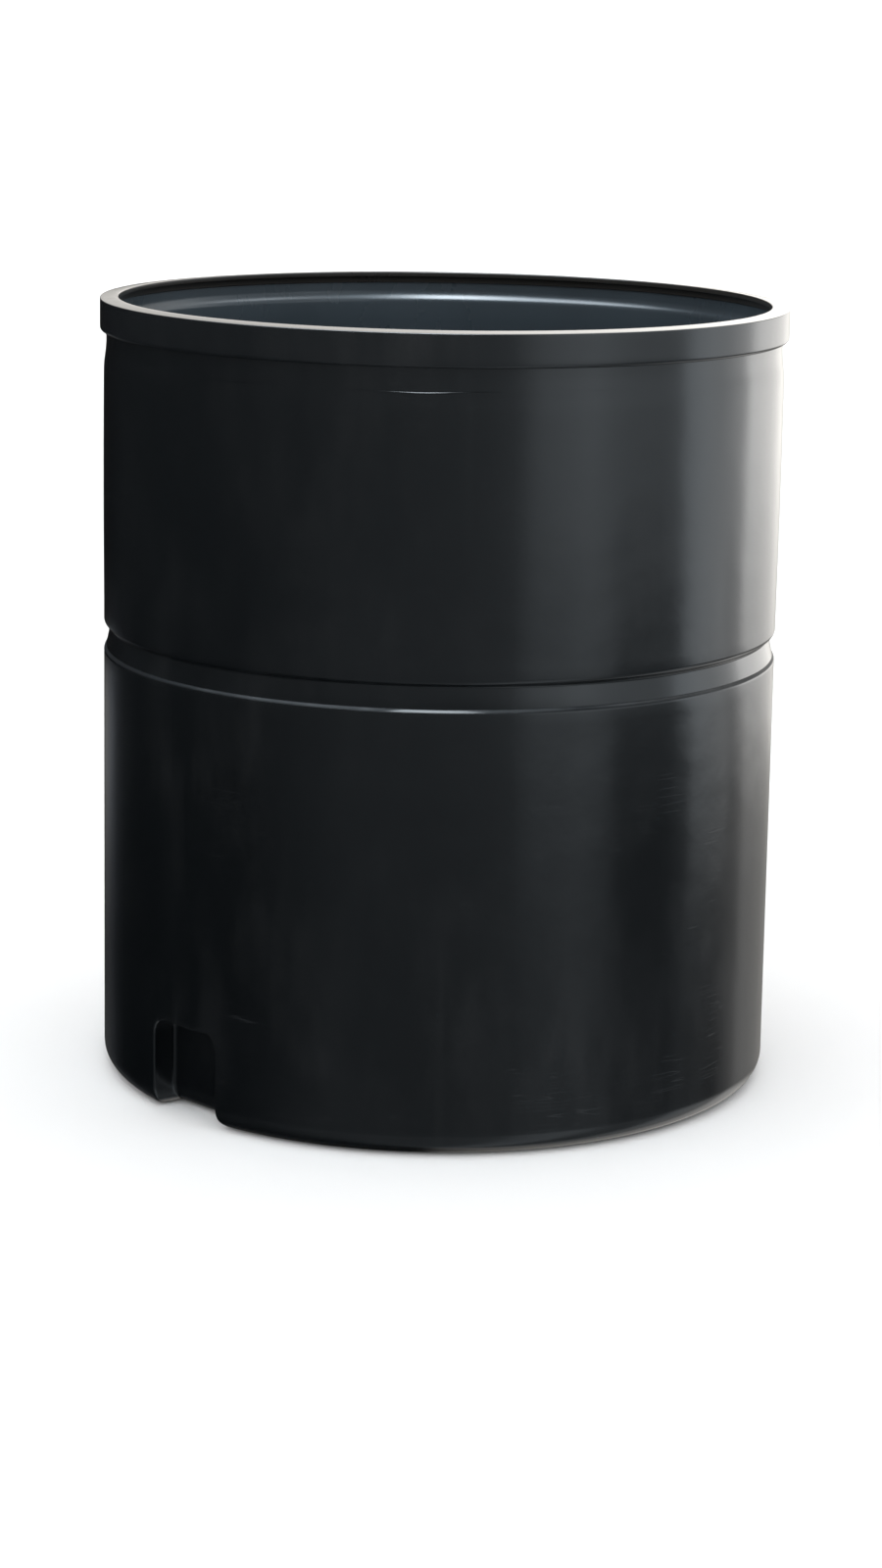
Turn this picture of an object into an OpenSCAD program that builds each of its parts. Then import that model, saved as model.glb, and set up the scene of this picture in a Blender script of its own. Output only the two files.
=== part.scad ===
// Open-top chemical drum: a one-piece moulded shell with a mid-height stiffening groove and an
// outlet recess at the foot, and a separate capping hoop that clips over the shell's cut top edge.
// Millimetres, +Z up, origin at the centre of the underside, outlet recess facing -Y.

/* [Drum] */
// Overall height, from the floor to the top of the hoop
drum_h = 1085; // [900:5:1300]
// Outer radius of the straight wall
wall_r = 470; // [400:5:600]
// Wall thickness of the moulded shell
wall_t = 7; // [5:0.5:7.5]
// Radius of the rounding between the wall and the base
foot_r = 30; // [20:1:45]

/* [Stiffening groove] */
// Height of the middle of the groove above the floor
groove_z = 616; // [400:1:700]
// Height of the groove's opening in the wall
groove_w = 45.5; // [43:0.5:48]
// Depth of the groove, measured inward from the wall
groove_depth = 8.5; // [8:0.5:10]
// Slope of the groove's upper flank, away from the vertical wall
groove_top_slope = 60; // [55:1:62]
// Slope of the groove's short lower flank, away from the vertical wall
groove_bottom_slope = 44; // [40:1:44]
// Radius of the groove's upper lip
groove_top_r = 8; // [8:0.5:9.5]
// Radius of the groove's lower lip
groove_bottom_r = 8; // [8:0.5:8.5]
// Radius of the bends between the groove's sloping floor and its two flanks
groove_root_r = 4; // [3:0.5:5]

/* [Neck and bell] */
// Distance from the top of the drum down to the middle of the soft shoulder
shoulder_drop = 80; // [79:1:110]
// How far the neck stands back from the wall
neck_inset = 3.3; // [2.5:0.1:4.5]
// Radius of the two long bends of the shoulder
shoulder_r = 150; // [100:5:150]
// Distance from the top of the drum down to the ledge where the top edge bells outward
ledge_drop = 39; // [36:0.5:40]
// How far the belled top edge stands out from the neck
bell_step = 4.8; // [4:0.1:5]
// Inside radius of the rounded ledge
ledge_r = 14; // [12:0.5:18]
// Inside radius of the cove above the ledge
cove_r = 20; // [16:1:24]

/* [Rim hoop] */
// How far the hoop stands out from the straight wall
hoop_overhang = 5.5; // [5.5:0.5:8]
// Height of the hoop's skirt
hoop_h = 46; // [46:0.5:49]
// Width of the lip, from the hoop's outside to the mouth
lip_w = 25.1; // [22:0.1:30]
// Thickness of the lip at the mouth
lip_t = 7; // [6:0.5:8]
// Width of the level land next to the mouth, on which a lid rests
land_w = 6; // [4:0.5:8]
// How far the lip falls from the land to the hoop's outside, so that spills run off outward
lip_fall = 1.8; // [1:0.1:3]
// Radius of the hoop's rounded top edge
hoop_top_r = 1; // [1:0.5:2]
// Radius of the hoop's rounded bottom edge
hoop_bottom_r = 5; // [3:0.5:6]
// Thickness of the locating rib under the lip
rib_t = 4; // [3:0.5:5]
// Height of the locating rib under the lip
rib_h = 10; // [6:1:12]
// Gap between the hoop and the shell on each side of the slot
hoop_gap = 0.2; // [0.1:0.1:0.4]

/* [Outlet recess] */
// Width of the recess at the foot
recess_w = 123; // [90:1:150]
// Height of the recess above the floor
recess_h = 125; // [90:1:180]
// Depth of the flat panel behind the front of the wall
recess_depth = 39; // [30:1:45]
// Radius of the two upper corners of the recess
recess_corner_r = 16; // [8:1:30]

/* [Hidden] */
$fn = 180;
PLASTIC = [0.06, 0.06, 0.065];
ARC_STEP = 7.5;
// Clearance by which cutting shapes pass the faces they cut
OVER = 1;
// Smallest rounding, on edges that are only deburred
EDGE_R = 1.5;

neck_r = wall_r - neck_inset;
bell_r = neck_r + bell_step;
hoop_r = wall_r + hoop_overhang;
mouth_r = hoop_r - lip_w;
shell_top = drum_h - lip_t;
panel_y = wall_r - recess_depth;

// Groove: centres of the two root bends. The lower bend follows straight on from the lower lip,
// the upper one reaches the full depth, and the floor slopes inward between them.
groove_high = groove_z + groove_w / 2;
groove_low = groove_z - groove_w / 2;
low_bends = groove_bottom_r + groove_root_r;
low_root_r = wall_r - groove_bottom_r + low_bends * cos(groove_bottom_slope);
low_root_z = groove_low + low_bends * sin(groove_bottom_slope);
top_bends = groove_top_r + groove_root_r;
top_flank_h = top_bends * tan(groove_top_slope / 2) + groove_depth / tan(groove_top_slope);
top_root_r = wall_r - groove_depth + groove_root_r;
top_root_z = groove_high - top_flank_h;
floor_tilt = atan((low_root_r - top_root_r) / (top_root_z - low_root_z));

// Shoulder: turn of each bend, and the height of the pair
shoulder_turn = acos(1 - neck_inset / (2 * shoulder_r));
shoulder_half = shoulder_r * sin(shoulder_turn);
shoulder_z = drum_h - shoulder_drop;

// Bell: turn of each bend, and the heights where the bends start and end
bell_turn = acos(1 - bell_step / (ledge_r + cove_r));
bell_start = drum_h - ledge_drop - ledge_r * sin(bell_turn);
bell_end = drum_h - ledge_drop + cove_r * sin(bell_turn);

// Points along an arc about [r, z], from angle a0 to a1
function arc(r, z, radius, a0, a1) =
    let (n = max(2, ceil(abs(a1 - a0) / ARC_STEP)))
    [for (i = [0:n]) let (a = a0 + (a1 - a0) * i / n) [r + radius * cos(a), z + radius * sin(a)]];

// The shell's section at a depth under its outer surface: 0 is outside, wall_t is inside.
// Bends about a centre inside the wall get tighter with depth, and the others wider.
function shell_path(depth) = concat(
    [[0, depth]],
    arc(wall_r - foot_r, foot_r, foot_r - depth, -90, 0),
    arc(wall_r - groove_bottom_r, groove_low, groove_bottom_r - depth, 0, groove_bottom_slope),
    arc(low_root_r, low_root_z, groove_root_r + depth, 180 + groove_bottom_slope, 180 + floor_tilt),
    arc(top_root_r, top_root_z, groove_root_r + depth, 180 + floor_tilt, 180 - groove_top_slope),
    arc(wall_r - groove_top_r, groove_high, groove_top_r - depth, -groove_top_slope, 0),
    arc(wall_r - shoulder_r, shoulder_z - shoulder_half, shoulder_r - depth, 0, shoulder_turn),
    arc(neck_r + shoulder_r, shoulder_z + shoulder_half, shoulder_r + depth,
        180 + shoulder_turn, 180),
    arc(neck_r - wall_t + ledge_r, bell_start, ledge_r - wall_t + depth, 180, 180 - bell_turn),
    arc(bell_r - wall_t - cove_r, bell_end, cove_r + wall_t - depth, -bell_turn, 0)
);

// Space taken by the outlet recess, or with grow = wall_t the moulded pocket around it
module recess_space(grow) {
    half_w = recess_w / 2 + grow;
    top = recess_h + grow;
    corner = recess_corner_r + grow;
    back = panel_y - grow;
    translate([0, -back, 0])
        rotate([90, 0, 0])
            linear_extrude(wall_r - back + OVER) {
                translate([-half_w, -OVER])
                    square([2 * half_w, top - corner + OVER]);
                translate([-half_w + corner, -OVER])
                    square([2 * (half_w - corner), top + OVER]);
                for (side = [-1, 1])
                    translate([side * (half_w - corner), top - corner])
                        circle(corner);
            }
    // The panel meets the base in the same rounding as the wall does
    difference() {
        translate([-half_w, -back - OVER, -OVER])
            cube([2 * half_w, foot_r - grow + OVER, foot_r + OVER]);
        translate([-half_w - OVER, foot_r - panel_y, foot_r])
            rotate([0, 90, 0])
                cylinder(r = foot_r - grow, h = 2 * (half_w + OVER));
    }
}

// Inside of the drum, kept clear of the pocket that the recess pushes inward
module shell_cavity() {
    difference() {
        rotate_extrude()
            polygon(concat(
                shell_path(wall_t),
                [[bell_r - wall_t, shell_top + OVER], [0, shell_top + OVER]]
            ));
        recess_space(wall_t);
    }
}

module drum_shell() {
    color(PLASTIC)
        difference() {
            rotate_extrude()
                polygon(concat(shell_path(0), [[bell_r, shell_top], [0, shell_top]]));
            shell_cavity();
            recess_space(0);
        }
}

// Capping hoop: a skirt outside the shell's edge, a lip over it and a locating rib inside it.
// The skirt's lower end turns in under the bell as a bead that holds the hoop on.
module rim_hoop() {
    skirt_in = bell_r + hoop_gap;
    bead_in = neck_r + 3 * hoop_gap;
    skirt_bottom = drum_h - hoop_h;
    rib_out = bell_r - wall_t - hoop_gap;
    rib_in = rib_out - rib_t;
    lip_slope = atan(lip_fall / (lip_w - land_w));
    color(PLASTIC)
        rotate_extrude()
            polygon(concat(
                arc(hoop_r - hoop_bottom_r, skirt_bottom + hoop_bottom_r, hoop_bottom_r, -90, 0),
                arc(hoop_r - hoop_top_r, drum_h - lip_fall - hoop_top_r, hoop_top_r, 0, 90 - lip_slope),
                [[mouth_r + land_w, drum_h]],
                arc(mouth_r + EDGE_R, drum_h - EDGE_R, EDGE_R, 90, 180),
                [[mouth_r, shell_top], [rib_in, shell_top]],
                arc(rib_in + EDGE_R, shell_top - rib_h + EDGE_R, EDGE_R, 180, 270),
                [[rib_out, shell_top - rib_h], [rib_out, shell_top]],
                [[skirt_in, shell_top], [skirt_in, drum_h - ledge_drop]],
                [[bead_in, skirt_bottom + hoop_gap]]
            ));
}

drum_shell();
rim_hoop();
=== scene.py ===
"""Open-top chemical drum: moulded shell and capping hoop, in metres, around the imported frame."""
from math import acos, atan, cos, pi, radians, sin, sqrt, tan

import bpy
import numpy as np
from mathutils import Matrix, Vector


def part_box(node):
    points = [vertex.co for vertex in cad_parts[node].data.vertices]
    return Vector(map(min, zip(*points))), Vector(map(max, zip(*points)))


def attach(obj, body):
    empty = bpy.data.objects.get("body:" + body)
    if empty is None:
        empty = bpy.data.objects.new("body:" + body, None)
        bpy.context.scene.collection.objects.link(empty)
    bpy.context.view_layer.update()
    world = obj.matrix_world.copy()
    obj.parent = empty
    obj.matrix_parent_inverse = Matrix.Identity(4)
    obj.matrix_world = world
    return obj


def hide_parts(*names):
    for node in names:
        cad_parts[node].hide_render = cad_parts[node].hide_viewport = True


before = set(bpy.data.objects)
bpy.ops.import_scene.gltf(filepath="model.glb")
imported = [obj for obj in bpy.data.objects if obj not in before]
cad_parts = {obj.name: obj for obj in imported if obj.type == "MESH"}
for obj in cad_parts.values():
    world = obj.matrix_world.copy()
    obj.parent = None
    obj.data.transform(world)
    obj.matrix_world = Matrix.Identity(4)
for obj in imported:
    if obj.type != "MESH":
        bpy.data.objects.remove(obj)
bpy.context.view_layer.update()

# ---------------------------------------------------------------- sizes
# Read from the frame
_, SHELL_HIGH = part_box("drum_shell")
HOOP_LOW, HOOP_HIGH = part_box("rim_hoop")
TOP = HOOP_HIGH[2]              # top of the hoop
SHELL_TOP = SHELL_HIGH[2]       # cut edge of the shell, under the hoop's lip
HOOP_BOTTOM = HOOP_LOW[2]       # lower edge of the hoop's skirt
HOOP_R = HOOP_HIGH[0]           # outer radius of the hoop
BELL_R = SHELL_HIGH[0]          # outer radius of the belled top edge

# As the exact solids have them
WALL_T = 0.007                  # thickness of the shell
BELL_STEP = 0.0048              # the bell stands this far out from the neck
NECK_R = BELL_R - BELL_STEP
NECK_INSET = 0.0033             # the neck stands this far back from the wall
WALL_R = NECK_R + NECK_INSET
FOOT_R = 0.030                  # rounding between wall and base
GROOVE_Z, GROOVE_W, GROOVE_DEPTH = 0.616, 0.0455, 0.0085
GROOVE_TOP_SLOPE, GROOVE_BOTTOM_SLOPE = radians(60), radians(44)
GROOVE_TOP_R, GROOVE_BOTTOM_R = 0.008, 0.008
GROOVE_ROOT_R = 0.004
SHOULDER_Z, SHOULDER_R = TOP - 0.080, 0.150
LEDGE_Z, LEDGE_R, COVE_R = TOP - 0.039, 0.014, 0.020

LIP_W, LAND_W, LIP_FALL = 0.0251, 0.006, 0.0018
MOUTH_R = HOOP_R - LIP_W
HOOP_TOP_R, HOOP_BOTTOM_R = 0.001, 0.005
RIB_T, RIB_H, GAP, EDGE_R = 0.004, 0.010, 0.0002, 0.0015

RECESS_W, RECESS_H, RECESS_DEPTH = 0.123, 0.125, 0.039
RECESS_CORNER_R = 0.016

# Only in the visual
INNER_SHOULDER_R = 0.300        # the inner skin follows the shoulder more softly
RECESS_FOOT_R = 0.014           # the recess's side walls round away to the sides at the base
WITNESS_Z = SHOULDER_Z + 0.003  # the mould's parting line, a fine raised bead round the shoulder
WITNESS_H, WITNESS_W = 0.00042, 0.0010
WITNESS_KEPT_AT = 0.45          # the angle about which the bead was trimmed least
WAVE_H, SWELL_H = 0.00045, 0.0007  # unevenness all over the wall, and swell of its upper part
WORN = 0.0008                   # worn edges of the hoop

# Longest and shortest steps along the sections, and number of columns round the hoop
SHELL_STEP, HOOP_STEP, SHORTEST_STEP = 0.016, 0.008, 1e-5
HOOP_COLUMNS = 440


# ---------------------------------------------------------------- sections
def arc(r, z, radius, start, end, step=radians(5)):
    """Points along an arc about (r, z), from angle start to angle end."""
    count = max(2, int(abs(end - start) / step))
    return [(r + radius * cos(a), z + radius * sin(a)) for a in np.linspace(start, end, count + 1)]


def shell_path(depth, shoulder_r):
    """The shell's section from the base's centre to its top edge, at a depth under its outside."""
    low, high = GROOVE_Z - GROOVE_W / 2, GROOVE_Z + GROOVE_W / 2
    top_slope, low_slope = GROOVE_TOP_SLOPE, GROOVE_BOTTOM_SLOPE
    low_bends, top_bends = GROOVE_BOTTOM_R + GROOVE_ROOT_R, GROOVE_TOP_R + GROOVE_ROOT_R
    low_root_r = WALL_R - GROOVE_BOTTOM_R + low_bends * cos(low_slope)
    low_root = low + low_bends * sin(low_slope)
    top_root_r = WALL_R - GROOVE_DEPTH + GROOVE_ROOT_R
    top_root = high - top_bends * tan(top_slope / 2) - GROOVE_DEPTH / tan(top_slope)
    floor_tilt = atan((low_root_r - top_root_r) / (top_root - low_root))
    turn = acos(1 - NECK_INSET / (2 * shoulder_r))
    rise = shoulder_r * sin(turn)
    bell_turn = acos(1 - BELL_STEP / (LEDGE_R + COVE_R))
    bell_start = LEDGE_Z - LEDGE_R * sin(bell_turn)
    bell_end = LEDGE_Z + COVE_R * sin(bell_turn)
    bell_r = BELL_R - WALL_T - COVE_R
    long_bend, soft_bend = radians(1.5), radians(3)
    return [
        (0.0, depth),
        *arc(WALL_R - FOOT_R, FOOT_R, FOOT_R - depth, -pi / 2, 0),
        *arc(WALL_R - GROOVE_BOTTOM_R, low, GROOVE_BOTTOM_R - depth, 0, low_slope, soft_bend),
        *arc(low_root_r, low_root, GROOVE_ROOT_R + depth, pi + low_slope, pi + floor_tilt),
        *arc(top_root_r, top_root, GROOVE_ROOT_R + depth, pi + floor_tilt, pi - top_slope),
        *arc(WALL_R - GROOVE_TOP_R, high, GROOVE_TOP_R - depth, -top_slope, 0, soft_bend),
        *arc(WALL_R - shoulder_r, SHOULDER_Z - rise, shoulder_r - depth, 0, turn, long_bend),
        *arc(NECK_R + shoulder_r, SHOULDER_Z + rise, shoulder_r + depth, pi + turn, pi, long_bend),
        *arc(NECK_R - WALL_T + LEDGE_R, bell_start, LEDGE_R - WALL_T + depth, pi, pi - bell_turn,
             soft_bend),
        *arc(bell_r, bell_end, COVE_R + WALL_T - depth, -bell_turn, 0, soft_bend),
        (BELL_R - depth, SHELL_TOP),
    ]


def hoop_path():
    """The hoop's closed section: skirt, sloping lip and its land, locating rib, slot and bead."""
    rib_out = BELL_R - WALL_T - GAP
    rib_in = rib_out - RIB_T
    rib_low = SHELL_TOP - RIB_H
    bead_in = NECK_R + 3 * GAP
    slope = atan(LIP_FALL / (LIP_W - LAND_W))
    lip_out = TOP - LIP_FALL
    fine, coarse, coarsest = radians(9), radians(15), radians(30)
    return [
        *arc(HOOP_R - HOOP_BOTTOM_R, HOOP_BOTTOM + HOOP_BOTTOM_R, HOOP_BOTTOM_R, -pi / 2, 0, fine),
        *arc(HOOP_R - HOOP_TOP_R, lip_out - HOOP_TOP_R, HOOP_TOP_R, 0, pi / 2 - slope, fine),
        (MOUTH_R + LAND_W + 2 * WORN, TOP - 2 * WORN * slope),
        (MOUTH_R + LAND_W - 2 * WORN, TOP),
        *arc(MOUTH_R + EDGE_R, TOP - EDGE_R, EDGE_R, pi / 2, pi, coarse),
        *arc(MOUTH_R + WORN, SHELL_TOP + WORN, WORN, pi, 1.5 * pi, coarsest),
        (rib_in - WORN, SHELL_TOP), (rib_in, SHELL_TOP - WORN),
        *arc(rib_in + EDGE_R, rib_low + EDGE_R, EDGE_R, pi, 1.5 * pi, coarse),
        (rib_out - WORN, rib_low), (rib_out, rib_low + WORN),
        (rib_out, SHELL_TOP), (BELL_R + GAP, SHELL_TOP),
        (BELL_R + GAP, LEDGE_Z), (bead_in, HOOP_BOTTOM + WORN),
        (bead_in + WORN, HOOP_BOTTOM),
    ]


def refine(path, longest, fine=()):
    """The path with its long stretches divided: fine holds (low z, high z, longest step) ranges."""
    out = [path[0]]
    for (r0, z0), (r1, z1) in zip(path, path[1:]):
        if abs(r1 - r0) + abs(z1 - z0) < SHORTEST_STEP:
            continue
        z_cuts = sorted({0.0, 1.0, *[
            (edge - z0) / (z1 - z0)
            for low, high, _ in fine for edge in (low, high)
            if min(z0, z1) < edge < max(z0, z1)
        ]})
        for a, b in zip(z_cuts, z_cuts[1:]):
            middle = z0 + (z1 - z0) * (a + b) / 2
            step = min([longest] + [s for low, high, s in fine if low <= middle <= high])
            length = (b - a) * sqrt((r1 - r0) ** 2 + (z1 - z0) ** 2)
            count = max(1, int(np.ceil(length / step)))
            for i in range(1, count + 1):
                t = a + (b - a) * i / count
                out.append((r0 + (r1 - r0) * t, z0 + (z1 - z0) * t))
    return out


# ---------------------------------------------------------------- moulding irregularities
def waves(theta, z, seed, size):
    """Smooth unevenness round and up the wall, in metres: a sum of a few random long waves."""
    rng = np.random.default_rng(seed)
    total = np.zeros_like(theta)
    for _ in range(14):
        turns = int(rng.integers(1, 8))
        rise = rng.uniform(-9, 9)
        height = rng.uniform(0.3, 1.0) / (1 + 0.35 * turns)
        total += height * np.sin(turns * theta + rise * z + rng.uniform(0, 2 * pi))
    return size * total / 3


def wall_unevenness(theta, z):
    """Radial unevenness of the moulded wall: it dies away to the foot and to the hoop."""
    foot_run, hoop_run = 0.10, 0.06
    free = np.clip((z - FOOT_R) / foot_run, 0, 1) * np.clip((HOOP_BOTTOM - z) / hoop_run, 0, 1)
    upper_low = GROOVE_Z + GROOVE_W
    upper = np.clip((z - upper_low) / (SHOULDER_Z - upper_low), 0, 1)
    return free * (waves(theta, z, 11, WAVE_H) + SWELL_H * np.sin(pi * upper))


def witness_bead(theta, z):
    """The parting line's bead: it wanders a little, and was trimmed off unevenly."""
    worn_off = np.clip(3.2 * (1 - np.cos(theta - WITNESS_KEPT_AT)) - 0.2, 0, 1)
    left_over = (0.5 + 0.5 * np.sin(11 * theta - 0.35)) * (1 - worn_off)
    wander = 0.0010 * np.sin(7 * theta) + 0.0005 * np.sin(23 * theta)
    across = (z - WITNESS_Z - wander) / WITNESS_W
    least = 0.02
    return WITNESS_H * (least + (1 - least) * left_over) * np.exp(-across ** 2)


# ---------------------------------------------------------------- outlet recess
def recess_section(fillet, root, depth, turn=radians(83)):
    """Distances outside the recess's outline, rising, and the share of the depth reached at each."""
    flank = (depth - (fillet + root) * (1 - cos(turn))) / sin(turn)
    start = fillet * sin(turn) + flank * cos(turn) / 2
    end = start - (fillet + root) * sin(turn) - flank * cos(turn)
    bend = np.linspace(0, turn, 12)
    outside = np.concatenate([start - fillet * np.sin(bend), end + root * np.sin(bend[::-1])])
    back = np.concatenate([fillet * (1 - np.cos(bend)), depth - root * (1 - np.cos(bend[::-1]))])
    return outside[::-1], back[::-1] / depth


def press_recess(points, radii, grow, side_fillet, top_fillet, root):
    """Pushes the outlet recess into the front of the shell: points is rows by columns by xyz."""
    x, y, z = points[..., 0], points[..., 1], points[..., 2]
    corner = RECESS_CORNER_R + grow
    foot = np.clip(1 - z / RECESS_FOOT_R, 0, 1)
    widened = RECESS_FOOT_R * (1 - np.sqrt(1 - foot ** 2))
    across = np.abs(x) - (RECESS_W / 2 + grow + widened - corner)
    above = z - (RECESS_H + grow - corner)
    outside = np.hypot(np.maximum(across, 0), np.maximum(above, 0)) - corner
    outside += np.minimum(np.maximum(across, above), 0)
    side = np.interp(outside, *recess_section(side_fillet, root, RECESS_DEPTH))
    top = np.interp(outside, *recess_section(top_fillet, root, RECESS_DEPTH))
    nearer_top = np.clip((above - across) / corner, 0, 1)
    share = (side + (top - side) * nearer_top) * (y < 0)

    # The base gives way over a long run, so that its rows stay in order
    foot_start = WALL_R - FOOT_R
    base_run = 0.19
    give = np.clip((radii[:, None] + grow - foot_start + base_run) / base_run, 0, 1)
    panel = -(radii[:, None] - RECESS_DEPTH)
    points[..., 1] = y + (panel - y) * share * give


# ---------------------------------------------------------------- mesh building
def shell_columns():
    """Angles of the shell's columns from the front (-Y) round, close together at the recess."""
    half, edge, margin = RECESS_W / 2, 0.012, 0.035
    near = np.concatenate([
        np.linspace(-half - margin, -half - edge, 7, endpoint=False),
        np.linspace(-half - edge, -half + edge, 44, endpoint=False),
        np.linspace(-half + edge, half - edge, 22, endpoint=False),
        np.linspace(half - edge, half + edge, 44, endpoint=False),
        np.linspace(half + edge, half + margin, 7),
    ])
    inner = np.arcsin(near / WALL_R)
    rest = np.linspace(inner[-1], 2 * pi + inner[0], 380)[1:-1]
    return np.concatenate([inner, rest])


def ring_quads(rows, columns, joined):
    """Faces of a grid closed round its columns; joined also closes its last row to its first."""
    row = np.arange(rows if joined else rows - 1)[:, None]
    column = np.arange(columns)[None, :]
    next_row, next_column = (row + 1) % rows, (column + 1) % columns
    return np.stack([
        row * columns + column,
        row * columns + next_column,
        next_row * columns + next_column,
        next_row * columns + column,
    ], axis=-1).reshape(-1, 4)


def add_mesh(name, vertices, faces, material):
    mesh = bpy.data.meshes.new(name)
    mesh.from_pydata([tuple(v) for v in vertices], [], [tuple(f) for f in faces])
    mesh.validate()
    mesh.update()
    mesh.polygons.foreach_set("use_smooth", [True] * len(mesh.polygons))
    mesh.materials.append(material)
    piece = bpy.data.objects.new(name, mesh)
    bpy.context.scene.collection.objects.link(piece)
    return piece


def turned(path, angles, unevenness=None):
    """Rows of points: the path turned about Z, one row for each of its points."""
    r = np.array([p[0] for p in path])[:, None]
    z = np.array([p[1] for p in path])[:, None] + 0 * angles[None, :]
    theta = angles[None, :] + 0 * r
    radius = r + (unevenness(theta, z) if unevenness else 0)
    return np.stack([radius * np.sin(theta), -radius * np.cos(theta), z], axis=-1)


def make_shell(material):
    """Outer and inner skin, joined at the cut top edge, each closed with a fan at the axis."""
    angles = shell_columns()
    fan_r = 0.02

    def skin(depth, shoulder_r, fine, unevenness, side_fillet, top_fillet, root):
        path = refine(shell_path(depth, shoulder_r), SHELL_STEP, fine)
        path = [p for p in path if p[0] > fan_r]
        points = turned(path, angles, unevenness)
        press_recess(points, np.array([p[0] for p in path]), depth, side_fillet, top_fillet, root)
        return points

    def outside_unevenness(theta, z):
        return wall_unevenness(theta, z) + witness_bead(theta, z)

    bead = 4 * WITNESS_W
    edge_low, edge_high = RECESS_H - 0.022, RECESS_H + 0.024
    outside = skin(0.0, SHOULDER_R, [
        (0.0, edge_low, 0.007), (edge_low, edge_high, 0.0012),
        (WITNESS_Z - bead, WITNESS_Z + bead, WITNESS_W / 2),
    ], outside_unevenness, side_fillet=0.0035, top_fillet=0.012, root=0.006)
    inside = skin(WALL_T, INNER_SHOULDER_R, [
        (0.0, edge_low, 0.008), (edge_low, edge_high + WALL_T, 0.0018),
    ], wall_unevenness, side_fillet=0.0105, top_fillet=0.017, root=0.003)
    points = np.concatenate([outside, inside[::-1]])
    rows, columns = points.shape[:2]
    total = rows * columns
    vertices = np.concatenate([points.reshape(-1, 3), [[0, 0, 0], [0, 0, WALL_T]]])
    ring = np.arange(columns)
    after = (ring + 1) % columns
    last = total - columns
    under = [(total, b, a) for a, b in zip(ring, after)]
    floor = [(total + 1, last + a, last + b) for a, b in zip(ring, after)]
    faces = list(map(tuple, ring_quads(rows, columns, joined=False))) + under + floor
    return add_mesh("shell_moulding", vertices, faces, material)


def make_hoop(material):
    path = hoop_path()
    closed = refine(path + [path[0]], HOOP_STEP)[:-1]
    angles = np.linspace(-pi, pi, HOOP_COLUMNS, endpoint=False)
    points = turned(closed, angles)
    faces = ring_quads(*points.shape[:2], joined=True)
    return add_mesh("capping_hoop", points.reshape(-1, 3), faces, material)


# ---------------------------------------------------------------- node helpers
class Nodes:
    """Short-hand for adding and linking shader nodes."""

    def __init__(self, tree):
        self.tree = tree
        tree.nodes.clear()

    def add(self, kind, settings=None, **inputs):
        node = self.tree.nodes.new(kind)
        for key, value in (settings or {}).items():
            setattr(node, key, value)
        for key, value in inputs.items():
            self.put(node, key.replace("_", " "), value)
        return node

    def put(self, node, key, value):
        socket = node.inputs[int(key[1:])] if key[0] == "#" else node.inputs[key]
        if isinstance(value, bpy.types.NodeSocket):
            self.tree.links.new(value, socket)
        else:
            socket.default_value = value

    def math(self, operation, a, b=0.0, clamp=False):
        node = self.add("ShaderNodeMath", {"operation": operation, "use_clamp": clamp})
        self.put(node, "#0", a)
        self.put(node, "#1", b)
        return node.outputs[0]

    def sum(self, *terms):
        total = terms[0]
        for term in terms[1:]:
            total = self.math("ADD", total, term)
        return total

    def dot(self, a, b):
        node = self.add("ShaderNodeVectorMath", {"operation": "DOT_PRODUCT"})
        self.put(node, "#0", a)
        self.put(node, "#1", b)
        return node.outputs["Value"]

    def ramp(self, value, stops):
        """Straight between stops: each is a place and a grey level or a colour."""
        node = self.add("ShaderNodeValToRGB", Fac=value)
        elements = node.color_ramp.elements
        while len(elements) < len(stops):
            elements.new(0.5)
        for element, (place, level) in zip(elements, stops):
            element.position = place
            grey = isinstance(level, (int, float))
            element.color = (level, level, level, 1) if grey else (*level, 1)
        return node.outputs["Color"]

    def between(self, value, low, high):
        """0 below low, 1 above high, and smooth between."""
        node = self.add("ShaderNodeMapRange", {"interpolation_type": "SMOOTHSTEP"}, Value=value)
        self.put(node, "From Min", low)
        self.put(node, "From Max", high)
        return node.outputs["Result"]

    def noise(self, vector, scale, detail=2.0, roughness=0.5, distortion=0.0):
        node = self.add("ShaderNodeTexNoise", Vector=vector, Scale=scale, Detail=detail,
                        Roughness=roughness, Distortion=distortion)
        return node.outputs["Fac"]

    def stretch(self, vector, scale, rotation=(0, 0, 0)):
        node = self.add("ShaderNodeMapping", Vector=vector, Scale=scale, Rotation=rotation)
        return node.outputs["Vector"]

    def mix(self, factor, a, b):
        node = self.add("ShaderNodeMix", {"data_type": "RGBA"})
        self.put(node, "#0", factor)
        self.put(node, "#6", a)
        self.put(node, "#7", b)
        return node.outputs[2]

    def mix_level(self, factor, a, b):
        node = self.add("ShaderNodeMix", {"data_type": "FLOAT"})
        self.put(node, "#0", factor)
        self.put(node, "#2", a)
        self.put(node, "#3", b)
        return node.outputs[0]


# ---------------------------------------------------------------- materials
PLASTIC_IOR = 1.52
DUST_COLOUR = (0.007, 0.008, 0.009, 1)
SCUFF_COLOUR = (0.045, 0.048, 0.052, 1)


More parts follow.
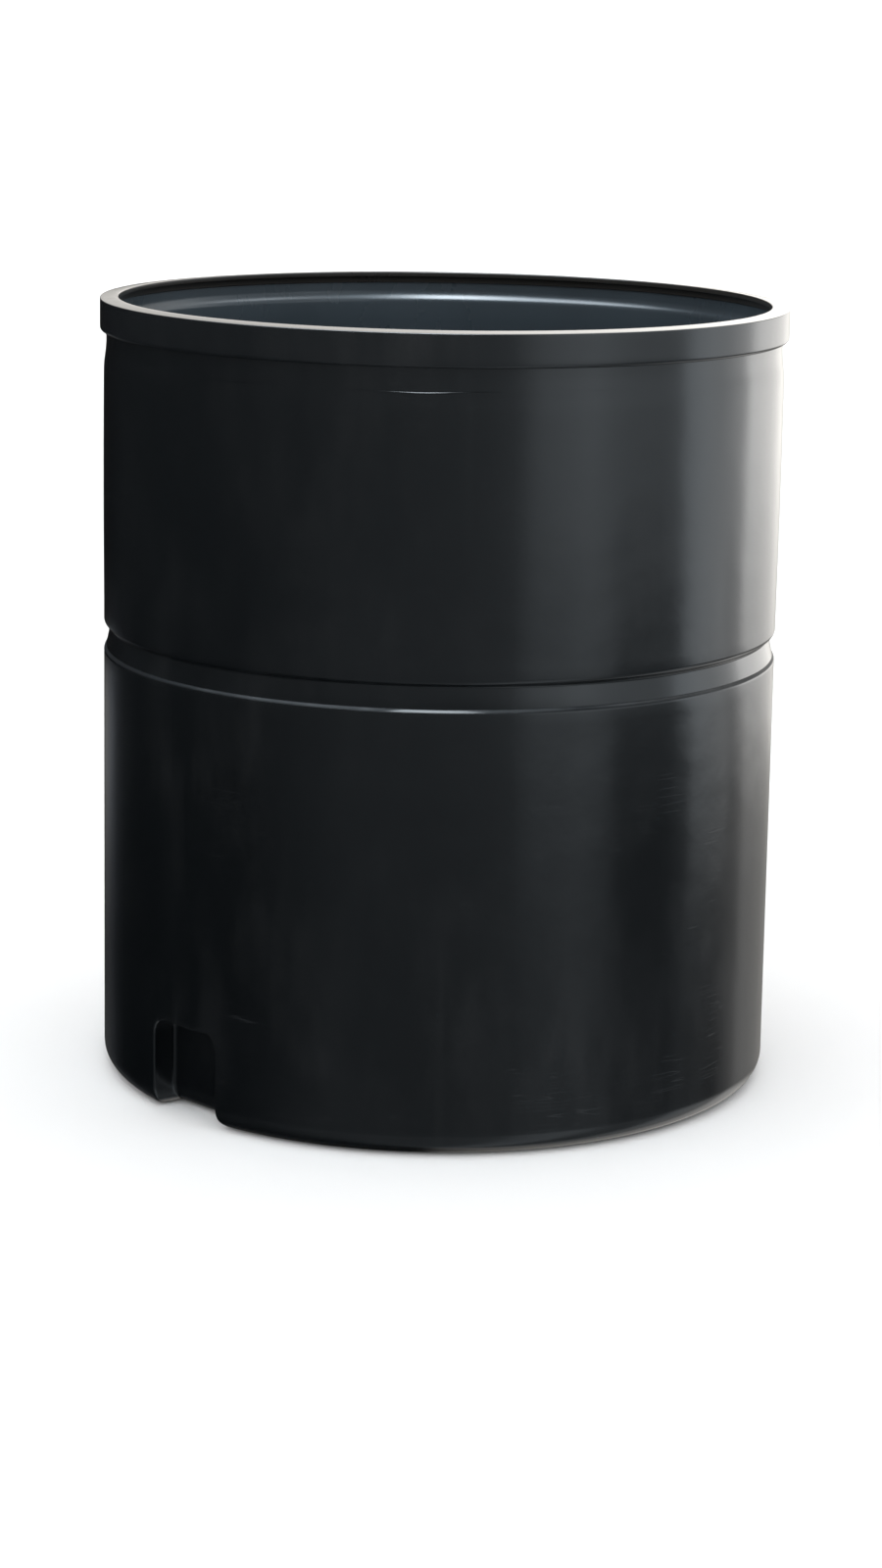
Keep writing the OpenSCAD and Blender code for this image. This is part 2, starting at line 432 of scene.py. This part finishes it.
def inner_skin(n, place):
    """1 on the skin that faced the hollow of the mould, 0 on the skin that lay against it."""
    normal = n.add("ShaderNodeNewGeometry").outputs["Normal"]
    outward = n.dot(normal, n.stretch(place, (1, 1, 0)))
    inward_wall = n.between(n.math("MULTIPLY", outward, -1.0), 0.02, 0.10)
    parts = n.add("ShaderNodeSeparateXYZ", Vector=place)
    height = parts.outputs["Z"]
    up = n.dot(normal, (0, 0, 1))
    low = n.between(height, 0.10, 0.06)
    inside_floor = n.math("MULTIPLY", n.between(up, 0.3, 0.6), low)
    return n.math("MAXIMUM", inward_wall, inside_floor)


def scratch_lines(n, place):
    """Thin straight lines in a few rubbed patches."""
    lines = None
    for turn, scale, keep in ((0.25, 5.0, 0.60), (-0.5, 4.0, 0.62), (1.45, 4.5, 0.64)):
        direction = n.stretch(place, (1.0, 1.0, 26.0), (turn, turn * 0.7, 0))
        ridge = n.math("ABSOLUTE", n.math("SUBTRACT", n.noise(direction, scale, 0.0, 0.3), 0.5))
        thin = n.ramp(ridge, [(0.0, 1.0), (0.006, 0.0)])
        where = n.ramp(n.noise(place, 6.5 + turn, 3, 0.6), [(keep, 0.0), (keep + 0.04, 1.0)])
        line = n.math("MULTIPLY", thin, where)
        lines = line if lines is None else n.math("MAXIMUM", lines, line)
    return lines


def settled_dust(n, place):
    """Dust lying in the groove's root and on its lower lip, with less of it on one wiped stretch."""
    parts = n.add("ShaderNodeSeparateXYZ", Vector=place)
    height = parts.outputs["Z"]
    margin = 0.001
    off_middle = n.math("ABSOLUTE", n.math("SUBTRACT", height, GROOVE_Z))
    near_groove = n.math("LESS_THAN", off_middle, 0.5 * GROOVE_W + margin)
    up = n.dot(n.add("ShaderNodeNewGeometry").outputs["Normal"], (0, 0, 1))
    lies = n.math("MULTIPLY", n.between(up, 0.26, 0.40), near_groove)
    lip_top = GROOVE_Z - 0.5 * GROOVE_W + GROOVE_BOTTOM_R * sin(GROOVE_BOTTOM_SLOPE)
    in_root = n.between(height, lip_top, lip_top + margin)
    wiped_at = radians(45.5)
    wiped_near, wiped_far = 0.9976, 0.9863  # cosines of 4 and 9.5 degrees from its middle
    left_when_wiped = 0.5
    along = n.dot(place, (sin(wiped_at) / WALL_R, -cos(wiped_at) / WALL_R, 0))
    least = n.math("MAXIMUM", in_root, left_when_wiped)
    dusty = n.math("MAXIMUM", least, n.between(along, wiped_near, wiped_far))
    patchy = n.ramp(n.noise(place, 14, 3, 0.6), [(0.30, 0.8), (0.60, 1.0)])
    return n.math("MULTIPLY", n.math("MULTIPLY", lies, patchy), dusty)


def black_plastic(name, base, dust, roughness, inner, groove_dust=False):
    """Black moulded polyethylene: fine orange peel, hazy and dusty patches, thin scratches.

    inner is the colour and the added roughness of the duller inner skin. On the shell that colour
    is paler and bluish, partly a duller skin and partly painted sky light. groove_dust adds the
    dust in the groove, which also takes away most of the gloss there.
    """
    material = bpy.data.materials.new(name)
    material.use_nodes = True
    n = Nodes(material.node_tree)
    place = n.add("ShaderNodeTexCoord").outputs["Object"]

    patches = n.ramp(n.noise(place, 3.2, 5, 0.55, 0.4), [(0.38, 0.0), (0.68, 1.0)])
    haze = n.ramp(n.noise(n.stretch(place, (1, 1, 0.3)), 15, 4, 0.6), [(0.42, 0.0), (0.74, 1.0)])
    specks = n.ramp(n.noise(place, 240, 2, 0.5), [(0.69, 0.0), (0.75, 1.0)])
    runs = n.ramp(n.noise(n.stretch(place, (1, 1, 0.04)), 9, 3, 0.6), [(0.60, 0.0), (0.70, 1.0)])
    skin = inner_skin(n, place)
    scratches = n.math("MULTIPLY", scratch_lines(n, place), n.math("SUBTRACT", 1.0, skin))

    clouds = n.sum(n.math("MULTIPLY", patches, haze), n.math("MULTIPLY", runs, 0.6))
    dirt = n.math("MULTIPLY", clouds, 0.55)
    grime = n.math("ADD", dirt, n.math("MULTIPLY", specks, n.math("MULTIPLY", haze, 0.8)), clamp=True)
    colour = n.mix(grime, (*base, 1), (*dust, 1))
    rough = n.sum(roughness, n.math("MULTIPLY", patches, 0.04), n.math("MULTIPLY", haze, 0.03))
    # The inner skin's paler colour is partly a duller skin and partly painted sky light: its brightness
    # and blue tint stand in for sky light inside the drum.
    inner_colour, added = inner
    streaks = n.noise(n.stretch(place, (1, 1, 0.5)), 6, 3, 0.6)
    dull, pale = ([share * c for c in inner_colour] for share in (0.75, 1.25))
    colour = n.mix(skin, colour, n.mix(streaks, (*dull, 1), (*pale, 1)))
    rough = n.math("ADD", rough, n.math("MULTIPLY", skin, added))
    gloss_left = (1, 1, 1, 1)
    if groove_dust:
        settled = settled_dust(n, place)
        colour = n.mix(n.math("MULTIPLY", settled, 0.7), colour, DUST_COLOUR)
        rough = n.math("ADD", rough, n.math("MULTIPLY", settled, 0.35))
        gloss_left = n.mix(settled, gloss_left, (0.08, 0.08, 0.08, 1))
    scuffed = n.math("MULTIPLY", scratches, 0.15)
    colour = n.mix(scuffed, colour, SCUFF_COLOUR)
    rough = n.math("ADD", rough, n.math("MULTIPLY", scuffed, 0.3), clamp=True)

    peel = n.sum(n.math("MULTIPLY", n.noise(place, 520, 2, 0.5), 0.3), n.noise(place, 90, 2, 0.5))
    swell = n.add("ShaderNodeBump", Height=n.noise(place, 13, 1, 0.4), Strength=0.5, Distance=0.0008)
    skin_bump = n.add("ShaderNodeBump", Height=peel, Strength=0.3, Distance=0.00012,
                      Normal=swell.outputs["Normal"])
    cut = n.add("ShaderNodeBump", {"invert": True}, Height=scratches, Strength=0.15,
                Distance=0.0002, Normal=skin_bump.outputs["Normal"])
    shader = n.add("ShaderNodeBsdfPrincipled", Base_Color=colour, Roughness=rough, IOR=PLASTIC_IOR,
                   Specular_Tint=gloss_left, Normal=cut.outputs["Normal"])
    n.add("ShaderNodeOutputMaterial", Surface=shader.outputs["BSDF"])
    return material


def floor_material():
    """Plain pale floor with a barely visible tone variation."""
    material = bpy.data.materials.new("pale_floor")
    material.use_nodes = True
    n = Nodes(material.node_tree)
    place = n.add("ShaderNodeTexCoord").outputs["Object"]
    tone = n.ramp(n.noise(place, 1.3, 3, 0.5), [(0.3, 0.89), (0.7, 0.91)])
    shader = n.add("ShaderNodeBsdfPrincipled", Base_Color=tone, Roughness=0.85)
    n.add("ShaderNodeOutputMaterial", Surface=shader.outputs["BSDF"])
    return material


# ---------------------------------------------------------------- stage, light and camera
CAMERA_AZIMUTH = 46.0           # degrees round from the front of the recess
CAMERA_DISTANCE = 4.980         # from the drum's axis, level
CAMERA_HEIGHT = 1.525
CAMERA_PITCH, CAMERA_ROLL = 11.184, 0.991
CAMERA_LENS = 82.56
CAMERA_SHIFT = (0.00153, -0.0631)
FLOOR_HALF = 40.0
ROOM_LEVEL = 1.3                # the pale room, as the eye and the diffuse light have it


def make_camera():
    a, p = radians(CAMERA_AZIMUTH), radians(CAMERA_PITCH)
    data = bpy.data.cameras.new("camera")
    data.lens, data.sensor_width = CAMERA_LENS, 36.0
    data.shift_x, data.shift_y = CAMERA_SHIFT
    camera = bpy.data.objects.new("camera", data)
    bpy.context.scene.collection.objects.link(camera)
    ahead = Vector((-sin(a) * cos(p), cos(a) * cos(p), -sin(p)))
    right = Vector((cos(a), sin(a), 0))
    up = right.cross(ahead)
    turn = Matrix((right, up, -ahead)).transposed() @ Matrix.Rotation(radians(CAMERA_ROLL), 3, "Z")
    camera.rotation_mode = "QUATERNION"
    camera.rotation_quaternion = turn.to_quaternion()
    camera.location = (sin(a) * CAMERA_DISTANCE, -cos(a) * CAMERA_DISTANCE, CAMERA_HEIGHT)
    bpy.context.scene.camera = camera


def make_floor():
    """The floor, which the gloss doesn't mirror: the world below the horizon stands for it there."""
    half = FLOOR_HALF
    corners = [(-half, -half, 0), (half, -half, 0), (half, half, 0), (-half, half, 0)]
    floor = add_mesh("floor", corners, [(0, 1, 2, 3)], floor_material())
    floor.visible_glossy = False


def make_world():
    """Soft studio: a pale room for the eye and for diffuse light, and broad soft panels for gloss.

    Bearings are in degrees to the right of the camera's side of the drum, seen from above.
    """
    world = bpy.data.worlds.new("studio")
    bpy.context.scene.world = world
    world.use_nodes = True
    n = Nodes(world.node_tree)
    a = radians(CAMERA_AZIMUTH)
    direction = n.add("ShaderNodeTexCoord").outputs["Generated"]
    to_front = n.dot(direction, (sin(a), -cos(a), 0))
    to_right = n.dot(direction, (cos(a), sin(a), 0))
    bearing = n.math("ADD", n.math("DIVIDE", n.math("ARCTAN2", to_right, to_front), 2 * pi), 0.5)
    elevation = n.math("MULTIPLY", n.math("ARCSINE", n.dot(direction, (0, 0, 1))), 180 / pi)

    def round_the_drum(peak, stops, position=bearing):
        """Levels against bearing, each no more than the peak."""
        levels = n.ramp(position, [(0.5 + degrees / 360, level / peak) for degrees, level in stops])
        return n.math("MULTIPLY", levels, peak)

    def towards(start, full, position=bearing):
        """0 at the bearing start, 1 at the bearing full."""
        return n.between(position, 0.5 + start / 360, 0.5 + full / 360)

    # Below the horizon: dark ahead and to the left, grey from the front right, bright far round.
    # The grey part's near edge leans to the right lower down.
    lean = n.math("MULTIPLY", n.between(elevation, -10.4, -12.0), towards(50, 75))
    leaning = n.math("SUBTRACT", bearing, n.math("MULTIPLY", lean, 6.0 / 360))
    low = round_the_drum(4.0, [
        (-180, 0.01), (-150, 0.01), (-120, 0.04), (-95, 0.07), (-67, 0.12), (-44, 0.18),
        (-20, 0.25), (0, 0.30), (16, 0.38), (25, 0.50), (28, 0.75), (32, 1.02), (42, 1.20),
        (50, 1.40), (58, 1.15), (66, 1.00), (78, 0.88), (85, 1.00), (89, 1.85), (98, 1.95),
        (106, 1.72), (116, 1.95), (120, 2.2), (125, 3.7), (134, 3.0), (142, 2.6), (150, 2.3),
        (160, 2.1), (170, 1.0), (180, 0.05),
    ], leaning)

    def dimming(stops):
        """Levels against degrees below the horizon."""
        return n.ramp(n.math("DIVIDE", elevation, -60.0), [(down / 60, level) for down, level in stops])

    # How each range of bearings dims downward, from the left round to the far right
    wide = dimming([
        (0, 1.0), (8, 0.95), (9.5, 0.78), (11.5, 0.60), (12.4, 0.50), (13.2, 0.34), (14.5, 0.22),
        (19, 0.14), (26, 0.60), (60, 0.50),
    ])
    shaded = dimming([
        (0, 1.0), (8, 0.93), (9.5, 0.66), (10.7, 0.42), (11.8, 0.24), (13.0, 0.09), (14.5, 0.08),
        (16, 0.14), (19, 0.14), (26, 0.35), (60, 0.25),
    ])
    bright = dimming([
        (0, 1.0), (10.7, 1.0), (11.8, 0.85), (12.5, 0.45), (13.6, 0.28), (14.3, 0.16), (15.2, 0.07),
        (19, 0.06), (26, 0.45), (45, 0.40), (60, 0.30),
    ])
    far = dimming([
        (0, 1.0), (7, 1.0), (9, 0.78), (9.9, 0.70), (11.3, 0.60), (11.8, 0.42), (12.4, 0.25),
        (13, 0.20), (14, 0.16), (17, 0.16), (19, 0.12), (26, 0.35), (60, 0.25),
    ])
    fade = n.mix_level(towards(56, 66), wide, shaded)
    fade = n.mix_level(towards(87, 92, leaning), fade, bright)
    fade = n.mix_level(towards(108, 114, leaning), fade, far)
    front_fill = round_the_drum(1.0, [(-70, 0.0), (-30, 0.12), (20, 0.12), (60, 0.02), (90, 0.0)])
    left_edge = round_the_drum(1.0, [
        (-180, 0.0), (-170, 0.04), (-160, 0.24), (-149, 0.18), (-143, 0.08), (-136, 0.02), (-126, 0.0),
    ])
    left_glow = n.math("MULTIPLY", left_edge, dimming([
        (0, 0.0), (10.4, 0.0), (11.3, 1.0), (12.4, 1.0), (14.0, 0.45), (15.5, 0.20), (17.0, 0.30),
        (60, 0.2),
    ]))
    below = n.between(elevation, -9.0, -12.0)
    low_level = n.sum(n.math("MULTIPLY", low, fade), n.math("MULTIPLY", below, front_fill), left_glow)

    # Just above the horizon: dark in front and to the left, pale at the right and behind
    horizon = round_the_drum(4.0, [
        (-180, 1.9), (-172, 1.0), (-166, 0.15), (-125, 0.08), (-67, 0.06), (-40, 0.09),
        (-20, 0.14), (0, 0.17), (16, 0.20), (24, 0.30), (32, 0.48), (40, 0.68), (48, 0.75),
        (66, 0.50), (80, 0.60), (90, 0.80), (104, 1.3), (114, 1.7), (120, 1.5), (128, 1.0),
        (137, 0.75), (150, 1.0), (160, 2.0), (172, 2.9), (180, 1.9),
    ])
    # High up: a broad bright panel over the camera
    high = round_the_drum(28.0, [
        (-180, 1.6), (-130, 1.5), (-100, 4.0), (-80, 14.0), (-60, 13.0), (-38, 11.0), (-22, 21.0),
        (-8, 27.0), (8, 26.0), (18, 10.0), (28, 3.2), (45, 2.4), (60, 2.2), (85, 7.0), (110, 7.0),
        (150, 3.0), (180, 3.0),
    ])
    # In front, the panels below the horizon carry on a little way above it
    ahead = n.math("MULTIPLY", towards(-90, -75), towards(118, 104))
    carried = n.math("MULTIPLY", n.between(elevation, 13.5, 10.5), ahead)
    near_horizon = n.mix_level(carried, horizon, low)
    above = n.mix_level(n.between(elevation, 30.0, 46.0), near_horizon, high)
    level = n.mix_level(n.between(elevation, 0.5, 4.5), low_level, above)
    tint = n.ramp(bearing, [
        (0.5 - 166 / 360, (1.00, 0.97, 0.92)), (0.5 - 150 / 360, (0.91, 0.98, 1.09)),
        (0.5 - 110 / 360, (0.89, 1.00, 1.09)),
        (0.5 + 90 / 360, (0.91, 1.00, 1.07)), (0.5 + 125 / 360, (1.00, 1.00, 0.99)),
        (0.5 + 165 / 360, (1.03, 1.00, 0.95)),
    ])
    gloss = n.add("ShaderNodeBackground", Color=tint, Strength=level)

    room = n.add("ShaderNodeBackground", Color=(1.0, 1.0, 1.0, 1), Strength=ROOM_LEVEL)
    path = n.add("ShaderNodeLightPath")
    pick = n.add("ShaderNodeMixShader")
    n.put(pick, "#0", path.outputs["Is Glossy Ray"])
    n.put(pick, "#1", room.outputs[0])
    n.put(pick, "#2", gloss.outputs[0])
    n.add("ShaderNodeOutputWorld", Surface=pick.outputs[0])


bpy.context.scene.view_settings.view_transform = "Standard"

# The shell's inner colour is paler and bluish than its outside: a duller inner skin, plus painted sky
# light.
shell_plastic = black_plastic("shell_plastic", (0.0020, 0.0027, 0.0033), (0.012, 0.013, 0.014), 0.13,
                              inner=((0.042, 0.057, 0.070), 0.12), groove_dust=True)
hoop_plastic = black_plastic("hoop_plastic", (0.0036, 0.0046, 0.0055), (0.016, 0.017, 0.018), 0.16,
                             inner=((0.024, 0.022, 0.020), 0.10))

shell = make_shell(shell_plastic)
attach(shell, "root")
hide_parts("drum_shell")

hoop = make_hoop(hoop_plastic)
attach(hoop, "root")
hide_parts("rim_hoop")

make_floor()
make_world()
make_camera()
